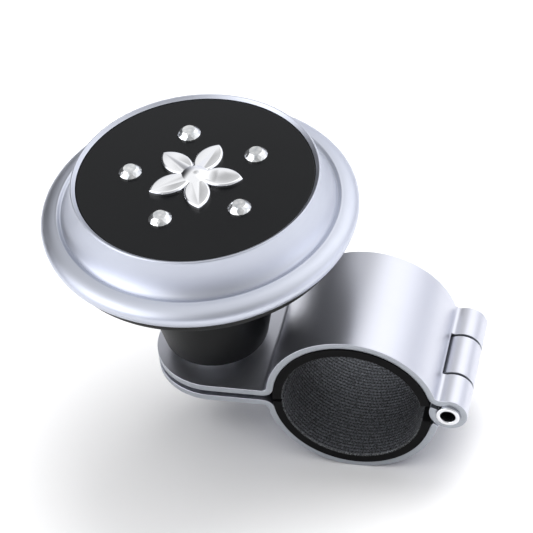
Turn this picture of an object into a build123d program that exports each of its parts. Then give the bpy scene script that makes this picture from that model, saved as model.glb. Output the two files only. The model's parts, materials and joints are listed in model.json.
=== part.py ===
from build123d import *
import math
import os

# Spinner knob for a steering wheel. Two stamped leaves, hinged by rolled knuckles, clamp round the
# wheel's rim, and a knob turns on two ball bearings above their flat tongues.
# Frame: the origin is the centre of the rim's round section between the closed pads. +Y runs along
# the rim and the hinge pin, +Z along the knob's axis, and +X from the knob towards the hinge.
# The two leaves meet at z = 0. All lengths are in millimetres and all angles in degrees.

# Clamp leaves
rim_radius = 12.6
pad_thickness = 1.8
sheet = 1.25
tongue_gap = 1.1
clamp_width = 23.6
knob_standoff = 11.25
hinge_standoff = 1.75
tip_centre_shift = 0.6
bend_radius = 1.0

# Rolled hinge
pin_radius = 2.15
pin_bore_radius = 1.35
pin_overhang = 0.6
pin_end_round = 0.25
pin_clearance = 0.05
curl_angle = 314.0
middle_knuckle_length = 9.6
knuckle_gap = 0.3
notch_clearance = 0.35

# Lining pads
pad_parting = 0.6
pad_overhang = 0.25
glue_gap = 0.03

# Spindle
spindle_radius = 4.0
flange_radius = 6.4
flange_height = 1.6
boss_shoulder = 0.9
spigot_radius = 4.5
spigot_flats = 7.6
stake_overlap = 0.9
stake_thickness = 0.4
screw_hole_radius = 3.0
screw_hole_depth = 5.8
spindle_top_gap = 0.2
fit_gap = 0.02

# Clamp screw, drawn at the root of its thread
thread_depth = 0.6
screw_tip_gap = 0.95
screw_head_radius = 5.25
screw_head_height = 3.3
screw_head_edge = 0.7
screw_crown_radius = 3.1
screw_socket_width = 4.0
screw_socket_depth = 2.0
screw_tip_chamfer = 0.5
washer_overlap = 0.75
washer_hole_gap = 0.2
washer_thickness = 1.0
tongue_hole_gap = 0.4

# Ball bearings. Their bore is the spindle, and a race's wall is what stands behind its balls
lower_race_wall = 0.81
lower_race_width = 5.0
lower_ball_radius = 1.19
lower_ball_count = 9
upper_race_wall = 1.515
upper_race_width = 7.0
upper_ball_radius = 1.985
upper_ball_count = 7
upper_bearing_drop = 1.7
groove_ratio = 1.04
groove_depth_ratio = 0.38
ball_clearance = 0.025
cage_land_gap = 0.25
cage_pocket_gap = 0.08
cage_floor = 0.6
cage_prong_ratio = 0.3
race_chamfer = 0.3
spacer_wall = 1.1

# Retaining screw, washer and circlip on top of the spindle
retaining_washer_radius = 5.6
retaining_washer_thickness = 1.0
retaining_screw_radius = 2.1
retaining_screw_length = 12.0
retaining_tip_gap = 2.0
retaining_head_radius = 4.3
retaining_head_height = 2.6
retaining_head_edge = 0.5
retaining_crown_radius = 2.6
retaining_socket_width = 3.0
retaining_socket_depth = 1.6
circlip_thickness = 1.0
circlip_width = 1.8
circlip_groove_depth = 0.8
circlip_gap = 0.1
circlip_opening = 40.0

# Knob body
knob_radius = 28.0
band_undercut = 1.7
rim_draft = 0.4
neck_clearance = 2.5
lower_neck_wall = 1.4
upper_neck_wall = 2.08
neck_edge_round = 0.6
lip_thickness = 1.6
lip_ledge = 0.9
rim_underside = 28.2
rim_height = 1.7
cove_radius = 5.0
floor_thickness = 2.0
hub_wall = 3.0
hub_rise = 1.6
collar_gap = 0.05
collar_headroom = 0.6
collar_wall = 1.6
rib_count = 6
rib_thickness = 1.4

# Knob shell
shell_wall = 1.3
band_width = 3.7
band_rise = 1.9
widest_rise = 2.4
cove_width = 2.4
lip_bead_width = 0.95
lip_bead_rise = 0.45
lip_bead_foot = 0.05

# Cap disc and its ornament
disc_rise = 9.9
disc_thickness = 1.8
disc_edge_round = 0.25
disc_gap = 0.05
disc_seat_width = 2.0
disc_seat_thickness = 1.2
petal_count = 5
petal_reach = 8.6
petal_belly = 5.0
petal_half_width = 2.3
petal_root = 0.6
rosette_hub_radius = 2.7
rosette_thickness = 0.9
rosette_bevel = 0.35
button_edge = 0.63
button_rise = 0.55
stone_count = 5
stone_circle_radius = 11.6
stone_radius = 2.05
stone_table_radius = 1.15
stone_girdle = 0.3
stone_crown = 0.85
stone_sides = 8

# Places that follow from the sizes above
jaw_radius = rim_radius + pad_thickness
knob_offset = jaw_radius + sheet + knob_standoff
hinge_offset = jaw_radius + sheet + hinge_standoff
jaw_middle_radius = jaw_radius + sheet / 2
tongue_top = tongue_gap / 2 + sheet
tongue_middle = tongue_gap / 2 + sheet / 2
knuckle_inner_radius = pin_radius + pin_clearance
knuckle_outer_radius = knuckle_inner_radius + sheet
notch_radius = knuckle_outer_radius + notch_clearance
knob_axis = Pos(-knob_offset, 0, 0)
lower_race_radius = spindle_radius + 2 * (lower_race_wall + lower_ball_radius)
upper_race_radius = spindle_radius + 2 * (upper_race_wall + upper_ball_radius)
neck_bottom = tongue_top + neck_clearance
rim_bottom = tongue_top + rim_underside
rim_top = rim_bottom + rim_height
lower_bearing_bottom = neck_bottom + lip_thickness
lower_bearing_top = lower_bearing_bottom + lower_race_width
upper_bearing_top = rim_bottom - upper_bearing_drop
upper_bearing_bottom = upper_bearing_top - upper_race_width
neck_radius = lower_race_radius + lower_neck_wall
upper_neck_radius = upper_race_radius + upper_neck_wall
neck_taper = (upper_neck_radius - neck_radius) / (upper_bearing_bottom - neck_bottom)
rim_top_radius = knob_radius - band_undercut
rim_bottom_radius = rim_top_radius - rim_draft
crease_radius = knob_radius - band_width
widest_height = rim_top + widest_rise
crease_height = widest_height + band_rise
collar_outer = rim_top_radius - shell_wall - collar_gap
collar_inner = collar_outer - collar_wall
collar_top = crease_height - shell_wall - collar_headroom
floor_top = rim_bottom + floor_thickness
hub_top = floor_top + hub_rise
hub_outer = upper_race_radius + hub_wall
lip_outer_radius = crease_radius - cove_width
disc_radius = lip_outer_radius - lip_bead_width - disc_gap
disc_top = rim_top + disc_rise
disc_seat = disc_top - disc_thickness
lip_foot = disc_top + lip_bead_foot
washer_bottom = -tongue_top - washer_thickness
stake_bottom = tongue_gap / 2 - stake_thickness
spindle_top = upper_bearing_top - spindle_top_gap
retaining_washer_top = upper_bearing_top + retaining_washer_thickness


def profile_face(edges):
    """A face in the upright XZ plane, from edges drawn with x and z."""
    return Plane.XZ * make_face(edges)


def turned(edges):
    """A solid of revolution about the Z axis."""
    return revolve(profile_face(edges), Axis.Z)


def ring(outer, inner, bottom, top):
    """A plain ring on the Z axis."""
    corners = [(inner, bottom), (outer, bottom), (outer, top), (inner, top), (inner, bottom)]
    return turned(Polyline(corners).edges())


def neck_radius_at(height):
    """The neck widens evenly from its lower edge."""
    return neck_radius + neck_taper * (height - neck_bottom)


def leaf_section():
    """The bent strip of the upper leaf, seen from its side: tongue, jaw and rolled knuckle."""
    outer_bend = bend_radius
    inner_bend = bend_radius + sheet
    middle_bend = bend_radius + sheet / 2
    reach = jaw_middle_radius + middle_bend
    bend_z = tongue_middle + middle_bend
    bend_x = -math.sqrt(reach ** 2 - bend_z ** 2)
    bend_angle = math.degrees(math.atan2(bend_z, bend_x))

    # The reverse bend touches the jaw's circle and the knuckle's circle.
    knuckle_reach = (knuckle_inner_radius + sheet / 2) + middle_bend
    reverse_x = (reach ** 2 - knuckle_reach ** 2 + hinge_offset ** 2) / (2 * hinge_offset)
    reverse_z = math.sqrt(reach ** 2 - reverse_x ** 2)
    jaw_end_angle = math.degrees(math.atan2(reverse_z, reverse_x))
    to_pin_angle = math.degrees(math.atan2(-reverse_z, hinge_offset - reverse_x))
    reverse_sweep = (to_pin_angle + 360) - (jaw_end_angle + 180)
    curl_start = to_pin_angle + 180
    curl_end = curl_start - curl_angle

    tip_x = -knob_offset + tip_centre_shift - clamp_width / 2
    pin = (hinge_offset, 0)
    bend = (bend_x, bend_z)
    reverse = (reverse_x, reverse_z)

    def on_curl(radius):
        angle = math.radians(curl_end)
        return (hinge_offset + radius * math.cos(angle), radius * math.sin(angle))

    outside = [
        Line((tip_x, tongue_top), (bend_x, tongue_top)),
        CenterArc(bend, outer_bend, -90, bend_angle - 90),
        CenterArc((0, 0), jaw_radius + sheet, bend_angle, jaw_end_angle - bend_angle),
        CenterArc(reverse, outer_bend, jaw_end_angle + 180, reverse_sweep),
        CenterArc(pin, knuckle_outer_radius, curl_start, -curl_angle),
    ]
    inside = [
        Line((tip_x, tongue_gap / 2), (bend_x, tongue_gap / 2)),
        CenterArc(bend, inner_bend, -90, bend_angle - 90),
        CenterArc((0, 0), jaw_radius, bend_angle, jaw_end_angle - bend_angle),
        CenterArc(reverse, inner_bend, jaw_end_angle + 180, reverse_sweep),
        CenterArc(pin, knuckle_inner_radius, curl_start, -curl_angle),
    ]
    ends = [
        Line((tip_x, tongue_gap / 2), (tip_x, tongue_top)),
        Line(on_curl(knuckle_inner_radius), on_curl(knuckle_outer_radius)),
    ]
    return profile_face(outside + inside + ends)


def leaf_blank():
    """The whole upper strip with its rounded tip, before the knuckles are notched."""
    strip = extrude(leaf_section(), clamp_width / 2, both=True)
    tip_x = -knob_offset + tip_centre_shift
    far_x = hinge_offset + 2 * knuckle_outer_radius
    plan = Pos(tip_x, 0) * Circle(clamp_width / 2)
    plan += Pos((tip_x + far_x) / 2, 0) * Rectangle(far_x - tip_x, clamp_width)
    height = jaw_radius + 2 * sheet
    return strip & extrude(plan, height, both=True)


def knuckle_cut(y_low, y_high):
    """The room that one knuckle of the other leaf needs round the pin."""
    length = y_high - y_low
    bar = Cylinder(notch_radius, length, rotation=(90, 0, 0))
    return Pos(hinge_offset, (y_low + y_high) / 2, 0) * bar


def spindle_hole(height, gap):
    """A round bar with two flats, for the spigot and for the hole that keeps it from turning."""
    bar = Cylinder(spigot_radius + gap, height)
    return bar & Box(3 * spigot_radius, spigot_flats + 2 * gap, height)


def upper_leaf():
    """It carries the spindle on its tongue, and the front and rear knuckles."""
    half = (middle_knuckle_length + knuckle_gap) / 2
    leaf = leaf_blank() - knuckle_cut(-half, half)
    hole = Pos(-knob_offset, 0, tongue_middle) * spindle_hole(2 * sheet, fit_gap)
    return leaf - hole


def lower_leaf():
    """It mirrors the upper leaf and carries the middle knuckle."""
    half = (middle_knuckle_length - knuckle_gap) / 2
    leaf = mirror(leaf_blank(), Plane.XY)
    leaf -= knuckle_cut(half, clamp_width)
    leaf -= knuckle_cut(-clamp_width, -half)
    hole = Pos(-knob_offset, 0, -tongue_middle) * Cylinder(
        screw_hole_radius + tongue_hole_gap, 2 * sheet)
    return leaf - hole


def upper_pad():
    """A curved strip glued inside the jaw and a little wider. It stops short of the other pad."""
    outer = jaw_radius - glue_gap
    reach = (outer ** 2 + hinge_offset ** 2 - notch_radius ** 2) / (2 * outer * hinge_offset)
    start = math.degrees(math.acos(reach))
    end = 180 - math.degrees(math.asin(pad_parting / 2 / rim_radius))

    def at(radius, angle):
        return (radius * math.cos(math.radians(angle)), radius * math.sin(math.radians(angle)))

    edges = [
        CenterArc((0, 0), outer, start, end - start),
        CenterArc((0, 0), rim_radius, start, end - start),
        Line(at(rim_radius, start), at(outer, start)),
        Line(at(rim_radius, end), at(outer, end)),
    ]
    return extrude(profile_face(edges), clamp_width / 2 + pad_overhang, both=True)


def lower_pad():
    """The same strip, glued inside the lower jaw."""
    return mirror(upper_pad(), Plane.XY)


def hinge_pin():
    """A hollow pin, held by the outer knuckles, that stands a little proud at both ends."""
    length = clamp_width + 2 * pin_overhang
    pin = Cylinder(pin_radius, length) - Cylinder(pin_bore_radius, length)
    pin = fillet(pin.edges().filter_by(GeomType.CIRCLE), pin_end_round)
    return Pos(hinge_offset, 0, 0) * Rot(90, 0, 0) * pin


def post(radius, bottom, top):
    """A plain round bar on the Z axis, from one height to another."""
    return Pos(0, 0, (bottom + top) / 2) * Cylinder(radius, top - bottom)


def spindle():
    """A turned post: spigot staked under the tongue, flange, boss and bearing seat."""
    flange_top = tongue_top + flange_height
    body = post(flange_radius, tongue_top, flange_top)
    body += post(spindle_radius + boss_shoulder, flange_top, lower_bearing_bottom)
    body += post(spindle_radius, lower_bearing_bottom, spindle_top)
    body += Pos(0, 0, tongue_middle) * spindle_hole(sheet, 0)
    body += post(spigot_radius + stake_overlap, stake_bottom, tongue_gap / 2)
    body -= post(screw_hole_radius, stake_bottom, stake_bottom + screw_hole_depth)
    top_hole_bottom = retaining_washer_top - retaining_screw_length - retaining_tip_gap
    body -= post(retaining_screw_radius + fit_gap, top_hole_bottom, spindle_top)
    return knob_axis * body


def hex_socket(width, depth):
    """A six-sided recess, flat to flat, that reaches down from z = 0."""
    return extrude(RegularPolygon(width / 2, 6, major_radius=False), -depth)


def dome_arc(edge, crown):
    """The top of a ball centred on the axis, from its outer edge to its crown."""
    middle = (edge[0] ** 2 + edge[1] ** 2 - crown[0] ** 2 - crown[1] ** 2) / (2 * (edge[1] - crown[1]))
    return RadiusArc(edge, crown, -math.hypot(edge[0], edge[1] - middle))


def button_screw(root, length, head, crown, socket, depth):
    """A screw that hangs below z = 0 by its domed socket head. Edge and crown are (radius, height)."""
    corners = [
        crown,
        (0, crown[1]),
        (0, -length),
        (root - screw_tip_chamfer, -length),
        (root, -length + screw_tip_chamfer),
        (root, 0),
        (head[0], 0),
        head,
    ]
    screw = turned(Polyline(corners).edges() + [dome_arc(head, crown)])
    return screw - Pos(0, 0, crown[1]) * hex_socket(socket, depth)


def clamp_screw():
    """It comes up from below, through both tongues, into the spindle."""
    tip = stake_bottom + screw_hole_depth - screw_tip_gap
    screw = button_screw(
        screw_hole_radius - thread_depth, tip - washer_bottom,
        (screw_head_radius, screw_head_edge), (screw_crown_radius, screw_head_height),
        screw_socket_width, screw_socket_depth)
    return knob_axis * Pos(0, 0, washer_bottom) * Rot(180, 0, 0) * screw


def screw_washer():
    """A captive washer between the screw's head and the lower tongue."""
    outer = screw_head_radius + washer_overlap
    inner = screw_hole_radius + washer_hole_gap
    washer = ring(outer, inner, washer_bottom, -tongue_top)
    return knob_axis * washer


def race_face(near, far, groove_centre, ball_radius, bottom, width):
    """Half a bearing race in section: a block with chamfered corners and a ball groove."""
    middle = bottom + width / 2
    block = Pos((near + far) / 2, middle) * Rectangle(far - near, width)
    block = chamfer(block.vertices(), race_chamfer)
    groove = Pos(groove_centre, middle) * Circle(ball_radius * groove_ratio)
    return Plane.XZ * (block - groove)


def bearing(outer_radius, width, ball_radius, ball_count, bottom):
    """Inner race, outer race, balls and cage of one open ball bearing."""
    pitch = (spindle_radius + outer_radius) / 2
    groove_depth = ball_radius * groove_depth_ratio
    inner_land = pitch - ball_radius + groove_depth
    outer_land = pitch + ball_radius - groove_depth
    middle = bottom + width / 2
    # The groove is a little wider than the ball, and its bottom lies just clear of it.
    shift = ball_radius * (groove_ratio - 1) - ball_clearance
    inner_face = race_face(
        spindle_radius + fit_gap, inner_land, pitch + shift, ball_radius, bottom, width)
    outer_face = race_face(
        outer_land, outer_radius - fit_gap, pitch - shift, ball_radius, bottom, width)
    inner = knob_axis * revolve(inner_face, Axis.Z)
    outer = knob_axis * revolve(outer_face, Axis.Z)
    places = knob_axis * Pos(0, 0, middle) * PolarLocations(pitch, ball_count)
    balls = Compound(children=[place * Sphere(ball_radius) for place in places])
    cage_bottom = middle - ball_radius - cage_pocket_gap - cage_floor
    cage_top = middle + ball_radius * cage_prong_ratio
    cage = knob_axis * ring(
        outer_land - cage_land_gap, inner_land + cage_land_gap, cage_bottom, cage_top)
    for place in places:
        cage -= place * Sphere(ball_radius + cage_pocket_gap)
    return inner, outer, balls, cage


def bearing_spacer():
    """A sleeve that keeps the two inner races apart."""
    inner = spindle_radius + fit_gap
    return knob_axis * ring(inner + spacer_wall, inner, lower_bearing_top, upper_bearing_bottom)


def retaining_washer():
    """It holds the upper inner race down."""
    inner = retaining_screw_radius + fit_gap
    washer = ring(retaining_washer_radius, inner, upper_bearing_top, retaining_washer_top)
    return knob_axis * washer


def retaining_screw():
    """A socket screw in the top of the spindle."""
    screw = button_screw(
        retaining_screw_radius, retaining_screw_length,
        (retaining_head_radius, retaining_head_edge), (retaining_crown_radius, retaining_head_height),
        retaining_socket_width, retaining_socket_depth)
    return knob_axis * Pos(0, 0, retaining_washer_top) * screw


def bearing_circlip():
    """An open spring ring in the body's groove that holds the upper outer race down."""
    outer = upper_race_radius + circlip_groove_depth - circlip_gap
    bottom = upper_bearing_top + circlip_gap
    clip = ring(outer, outer - circlip_width, bottom, bottom + circlip_thickness)
    opening = Pos(outer, 0, bottom + circlip_thickness / 2) * Box(
        outer, 2 * outer * math.sin(math.radians(circlip_opening / 2)), 2 * circlip_thickness)
    return knob_axis * (clip - opening)


def body_section():
    """The moulded body in section: neck, cove, rim flange, collar, hub and stepped bore."""
    lip_bore = lower_race_radius - lip_ledge
    groove = upper_race_radius + circlip_groove_depth
    groove_top = upper_bearing_top + circlip_thickness + 2 * circlip_gap
    edge_height = neck_bottom + neck_edge_round
    # The cove is a round of one radius between the tapered neck and the flat underside of the rim.
    cove_reach = cove_radius * math.tan((math.pi / 2 - math.atan(neck_taper)) / 2)
    cone_top = rim_bottom - cove_reach * math.cos(math.atan(neck_taper))
    cove_start = (neck_radius_at(cone_top), cone_top)
    cove_end = (neck_radius_at(rim_bottom) + cove_reach, rim_bottom)
    corners = [
        cove_end,
        (rim_bottom_radius, rim_bottom),
        (rim_top_radius, rim_top),
        (collar_outer, rim_top),
        (collar_outer, collar_top),
        (collar_inner, collar_top),
        (collar_inner, floor_top),
        (hub_outer, floor_top),
        (hub_outer, hub_top),
        (upper_race_radius, hub_top),
        (upper_race_radius, groove_top),
        (groove, groove_top),
        (groove, upper_bearing_top),
        (upper_race_radius, upper_bearing_top),
        (upper_race_radius, upper_bearing_bottom),
        (lower_race_radius, upper_bearing_bottom),
        (lower_race_radius, lower_bearing_bottom),
        (lip_bore, lower_bearing_bottom),
        (lip_bore, neck_bottom),
        (neck_radius_at(edge_height) - neck_edge_round, neck_bottom),
        (neck_radius_at(edge_height), edge_height),
        cove_start,
    ]
    return Polyline(corners).edges() + [RadiusArc(cove_start, cove_end, cove_radius)]


def knob_body():
    """One moulding: cup-shaped neck, black rim, and ribs between its hub and its collar."""
    body = turned(body_section())
    overlap = collar_wall / 2
    rib_length = collar_inner - hub_outer + 2 * overlap
    rib_bottom = rim_bottom + floor_thickness / 2
    rib_height = floor_thickness / 2 + hub_rise
    rib = Pos(hub_outer - overlap + rib_length / 2, 0, rib_bottom + rib_height / 2) * Box(
        rib_length, rib_thickness, rib_height)
    for place in PolarLocations(0, rib_count):
        body += place * rib
    return knob_axis * body


def band_path(crease_gap, cove_gap, side_gap):
    """From the lip down the cove to its crease, over the rounded band and under to the black rim."""
    under_radius = (band_undercut ** 2 + widest_rise ** 2) / (2 * band_undercut)
    under_angle = math.degrees(math.atan2(widest_rise, under_radius - band_undercut))
    under_centre = (knob_radius - side_gap - under_radius, widest_height)
    cove = EllipticalCenterArc(
        (crease_radius, lip_foot), cove_width + cove_gap, lip_foot - crease_height + crease_gap, 180)
    band = EllipticalCenterArc(
        (crease_radius, widest_height), band_width - side_gap, band_rise - crease_gap)
    under = CenterArc(under_centre, under_radius, 0, -under_angle)
    return [cove, band, under]


def shell_section():
    """The metal ring in section, with its lip bead and the seat for the disc."""
    lip_inner = lip_outer_radius - lip_bead_width
    foot_inner = rim_top_radius - shell_wall
    skin_top = lip_outer_radius - shell_wall
    outside = band_path(0, 0, 0)
    inside = band_path(shell_wall, shell_wall, shell_wall)
    bead = EllipticalCenterArc(
        ((lip_inner + lip_outer_radius) / 2, lip_foot), lip_bead_width / 2, lip_bead_rise, arc_size=180)
    skin = make_face(outside + inside + [
        bead,
        Line((rim_top_radius, rim_top), (foot_inner, rim_top)),
        Line((skin_top, lip_foot), (lip_inner, lip_foot)),
    ])
    seat_inner = disc_radius - disc_seat_width
    seat_middle = ((seat_inner + lip_outer_radius) / 2, disc_seat - disc_seat_thickness / 2)
    seat = Pos(*seat_middle) * Rectangle(lip_outer_radius - seat_inner, disc_seat_thickness)
    recess = Pos(lip_inner / 2, disc_seat + disc_thickness) * Rectangle(lip_inner, 2 * disc_thickness)
    return Plane.XZ * (skin + seat - recess)


def knob_shell():
    """The satin metal ring, one turned piece."""
    return knob_axis * revolve(shell_section(), Axis.Z)


def cap_disc():
    """The black disc in the top of the knob."""
    disc = post(disc_radius, disc_seat, disc_top)
    return knob_axis * fillet(disc.edges().group_by(Axis.Z)[-1], disc_edge_round)


def petal_outline(inset):
    """A pointed leaf shape along +X, drawn in from its edge by an inset."""
    near = petal_root + 2 * inset
    far = petal_reach - 2 * inset
    width = petal_half_width - inset
    return make_face([
        ThreePointArc((near, 0), (petal_belly, width), (far, 0)),
        ThreePointArc((far, 0), (petal_belly, -width), (near, 0)),
    ])


def petal():
    """A flat petal with a bevel round its upper edge."""
    shoulder = rosette_thickness - rosette_bevel
    full = petal_outline(0)
    plate = extrude(full, shoulder)
    bevel = loft([Pos(0, 0, shoulder) * full, Pos(0, 0, rosette_thickness) * petal_outline(rosette_bevel)],
                 ruled=True)
    return plate + bevel


def rosette():
    """A five-petal ornament with bevelled edges and a domed button over its middle."""
    top = rosette_thickness + button_rise
    edge = (rosette_hub_radius, button_edge)
    corners = [(0, top), (0, 0), (rosette_hub_radius, 0), edge]
    ornament = turned(Polyline(corners).edges() + [dome_arc(edge, (0, top))])
    for place in PolarLocations(0, petal_count):
        ornament += place * petal()
    return knob_axis * Pos(0, 0, disc_top) * ornament


def stone(number):
    """A faceted stone on the disc, between two petals."""
    girdle = extrude(RegularPolygon(stone_radius, stone_sides), stone_girdle)
    crown = loft([
        Pos(0, 0, stone_girdle) * RegularPolygon(stone_radius, stone_sides),
        Pos(0, 0, stone_girdle + stone_crown) * RegularPolygon(stone_table_radius, stone_sides),
    ])
    turn = (number - 0.5) * 360 / stone_count
    place = Rot(0, 0, turn) * Pos(stone_circle_radius, 0, disc_top)
    return knob_axis * place * (girdle + crown)


lower_inner, lower_outer, lower_balls, lower_cage = bearing(
    lower_race_radius, lower_race_width, lower_ball_radius, lower_ball_count, lower_bearing_bottom)
upper_inner, upper_outer, upper_balls, upper_cage = bearing(
    upper_race_radius, upper_race_width, upper_ball_radius, upper_ball_count, upper_bearing_bottom)

pieces = {
    "upper_leaf": upper_leaf(),
    "lower_leaf": lower_leaf(),
    "upper_pad": upper_pad(),
    "lower_pad": lower_pad(),
    "hinge_pin": hinge_pin(),
    "spindle": spindle(),
    "clamp_screw": clamp_screw(),
    "screw_washer": screw_washer(),
    "lower_inner_race": lower_inner,
    "lower_outer_race": lower_outer,
    "lower_balls": lower_balls,
    "lower_cage": lower_cage,
    "upper_inner_race": upper_inner,
    "upper_outer_race": upper_outer,
    "upper_balls": upper_balls,
    "upper_cage": upper_cage,
    "bearing_spacer": bearing_spacer(),
    "retaining_washer": retaining_washer(),
    "retaining_screw": retaining_screw(),
    "bearing_circlip": bearing_circlip(),
    "knob_body": knob_body(),
    "knob_shell": knob_shell(),
    "cap_disc": cap_disc(),
    "rosette": rosette(),
}
for number in range(1, stone_count + 1):
    pieces[f"stone_{number}"] = stone(number)

os.makedirs("parts", exist_ok=True)
for name, shape in pieces.items():
    export_step(shape, f"parts/{name}.step")
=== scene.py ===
# %% [markdown]
# # A spinner knob for a steering wheel
# The construction comes ready from the CAD frame: 29 pieces at their real size. This lesson gives
# the pieces that show a finer form, with rounded edges, threads and a woven lining, and it gives
# every surface its own finish. All sizes are in metres and written as millimetres times MM.

# %% Load the frame
import json
import math
import bpy
from mathutils import Matrix, Vector


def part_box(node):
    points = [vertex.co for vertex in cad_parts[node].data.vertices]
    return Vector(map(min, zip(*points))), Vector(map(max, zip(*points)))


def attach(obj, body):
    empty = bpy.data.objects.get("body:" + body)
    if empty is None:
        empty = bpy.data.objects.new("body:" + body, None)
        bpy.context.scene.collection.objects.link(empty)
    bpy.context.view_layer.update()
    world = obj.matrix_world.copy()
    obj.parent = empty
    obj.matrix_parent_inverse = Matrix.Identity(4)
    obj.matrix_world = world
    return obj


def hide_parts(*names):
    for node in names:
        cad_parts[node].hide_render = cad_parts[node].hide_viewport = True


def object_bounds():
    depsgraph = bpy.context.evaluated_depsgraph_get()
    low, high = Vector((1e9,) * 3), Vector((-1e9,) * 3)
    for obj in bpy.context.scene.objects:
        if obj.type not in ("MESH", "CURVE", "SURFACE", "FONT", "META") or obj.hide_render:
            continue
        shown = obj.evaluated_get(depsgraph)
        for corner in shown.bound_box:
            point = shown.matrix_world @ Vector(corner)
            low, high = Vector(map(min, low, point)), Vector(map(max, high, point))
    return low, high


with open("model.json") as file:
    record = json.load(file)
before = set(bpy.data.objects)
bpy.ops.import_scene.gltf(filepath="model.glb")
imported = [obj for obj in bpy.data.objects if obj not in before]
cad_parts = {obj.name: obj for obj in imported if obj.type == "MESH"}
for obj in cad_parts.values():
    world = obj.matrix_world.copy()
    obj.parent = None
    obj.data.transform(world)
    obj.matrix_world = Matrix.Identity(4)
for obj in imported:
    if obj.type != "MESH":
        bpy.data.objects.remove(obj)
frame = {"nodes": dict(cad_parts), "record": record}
cad_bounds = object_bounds()
MM = 0.001
print("The part is", [round((high - low) / MM, 1) for low, high in zip(*cad_bounds)], "mm")

# %% [markdown]
# ## Sizes that the pieces share
# The knob turns about an upright line, and the hinge pin lies along Y. Both lines are read from
# the frame, as are the heights where pieces meet, so a finer piece sits where the plain one sat.

# %% Axes and heights read from the frame
disc_low, disc_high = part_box("cap_disc")
shell_low, shell_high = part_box("knob_shell")
body_low, body_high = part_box("knob_body")
leaf_low, leaf_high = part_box("upper_leaf")
pin_low, pin_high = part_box("hinge_pin")
knob_x = (disc_low.x + disc_high.x) / 2
hinge_x = (pin_low.x + pin_high.x) / 2
knob_radius = (shell_high.x - shell_low.x) / 2
disc_radius = (disc_high.x - disc_low.x) / 2
disc_top = disc_high.z
rim_top = shell_low.z
clamp_width = leaf_high.y - leaf_low.y
print("knob axis at", round(knob_x / MM, 2), "mm, hinge at", round(hinge_x / MM, 2), "mm")

# %% [markdown]
# ## Helpers for modelling
# Most of these pieces are turned or bent, so three moves make them: draw a chain of edges by
# extruding one point, spin edges round an axis, and finish with applied modifiers. Everything is
# deselected first, because an operator acts on all that is selected.

# %% Start and end a piece
touch = 0.01 * MM
merge_distance = 0.002 * MM


def deselect_all():
    """Leaves no object selected and no mode open."""
    if bpy.context.mode != "OBJECT":
        bpy.ops.object.mode_set(mode="OBJECT")
    bpy.ops.object.select_all(action="DESELECT")


def pick(piece):
    """Selects one piece alone and makes it the active one."""
    deselect_all()
    piece.select_set(True)
    bpy.context.view_layer.objects.active = piece


def edit(piece):
    """Opens one piece in edit mode with nothing selected."""
    pick(piece)
    bpy.ops.object.mode_set(mode="EDIT")
    bpy.ops.mesh.select_mode(type="VERT")
    bpy.ops.mesh.select_all(action="DESELECT")


def select_where(piece, kind, test):
    """Selects the edges or polygons (kind) whose middle passes a test, and counts them."""
    bpy.ops.mesh.select_mode(type={"edges": "EDGE", "polygons": "FACE"}[kind])
    bpy.ops.mesh.select_all(action="DESELECT")
    bpy.ops.object.mode_set(mode="OBJECT")
    mesh = piece.data
    found = 0
    for item in getattr(mesh, kind):
        corners = [mesh.vertices[v].co for v in item.vertices]
        item.select = test(sum(corners, Vector()) / len(corners))
        found += item.select
    bpy.ops.object.mode_set(mode="EDIT")
    return found


def close_up():
    """Merges doubled points of the open piece, turns its faces outwards and closes edit mode."""
    bpy.ops.mesh.select_all(action="SELECT")
    bpy.ops.mesh.remove_doubles(threshold=merge_distance)
    bpy.ops.mesh.normals_make_consistent(inside=False)
    bpy.ops.object.mode_set(mode="OBJECT")


def settle(piece):
    """Puts a piece's place into its mesh, so that its object sits at the origin, unturned."""
    pick(piece)
    bpy.ops.object.transform_apply(location=True, rotation=True, scale=True)


def smooth(piece, degrees=35):
    """Smooth shading, with an edge kept sharp where its faces turn by more than this angle."""
    pick(piece)
    bpy.ops.object.shade_smooth_by_angle(angle=math.radians(degrees))


def modify(piece, kind, **settings):
    """Adds a modifier with its settings and applies it."""
    pick(piece)
    modifier = piece.modifiers.new(kind, kind)
    for name, value in settings.items():
        setattr(modifier, name, value)
    bpy.ops.object.modifier_apply(modifier=modifier.name)


def combine(piece, operation, tool):
    """Unites a piece with a tool, or cuts the tool out of it, and throws the tool away."""
    modify(piece, "BOOLEAN", operation=operation, object=tool, solver="EXACT")
    bpy.data.objects.remove(tool)


def own_copy(piece, name):
    """A copy of a piece with its own mesh."""
    twin = piece.copy()
    twin.data = piece.data.copy()
    twin.name = name
    bpy.context.scene.collection.objects.link(twin)
    return twin


print("points nearer than", merge_distance / MM, "mm are merged")

# %% [markdown]
# A turned piece starts as its half section, a chain of edges in the XZ plane. The section is put
# together from straight runs, arcs and rounded corners, and the chain is then spun one full turn.

# %% Draw a chain of edges and turn it on a lathe
def chain(name, points):
    """A chain of edges through (x, z) points in the XZ plane, drawn by extruding one point."""
    deselect_all()
    bpy.ops.mesh.primitive_plane_add(size=MM)
    piece = bpy.context.object
    piece.name = name
    edit(piece)
    bpy.ops.mesh.select_all(action="SELECT")
    bpy.ops.mesh.merge(type="CENTER")
    bpy.ops.transform.translate(value=(points[0][0], 0, points[0][1]))
    for here, there in zip(points, points[1:]):
        step = (there[0] - here[0], 0, there[1] - here[1])
        bpy.ops.mesh.extrude_region_move(TRANSFORM_OT_translate={"value": step})
    return piece


def lathe(name, points, centre, steps):
    """A chain of edges spun one full turn about an upright line at centre (x, y)."""
    piece = chain(name, points)
    bpy.ops.mesh.select_all(action="SELECT")
    bpy.ops.transform.translate(value=(centre[0], centre[1], 0))
    bpy.ops.mesh.spin(steps=steps, angle=math.tau, center=(centre[0], centre[1], 0), axis=(0, 0, 1))
    close_up()
    smooth(piece)
    return piece


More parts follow.
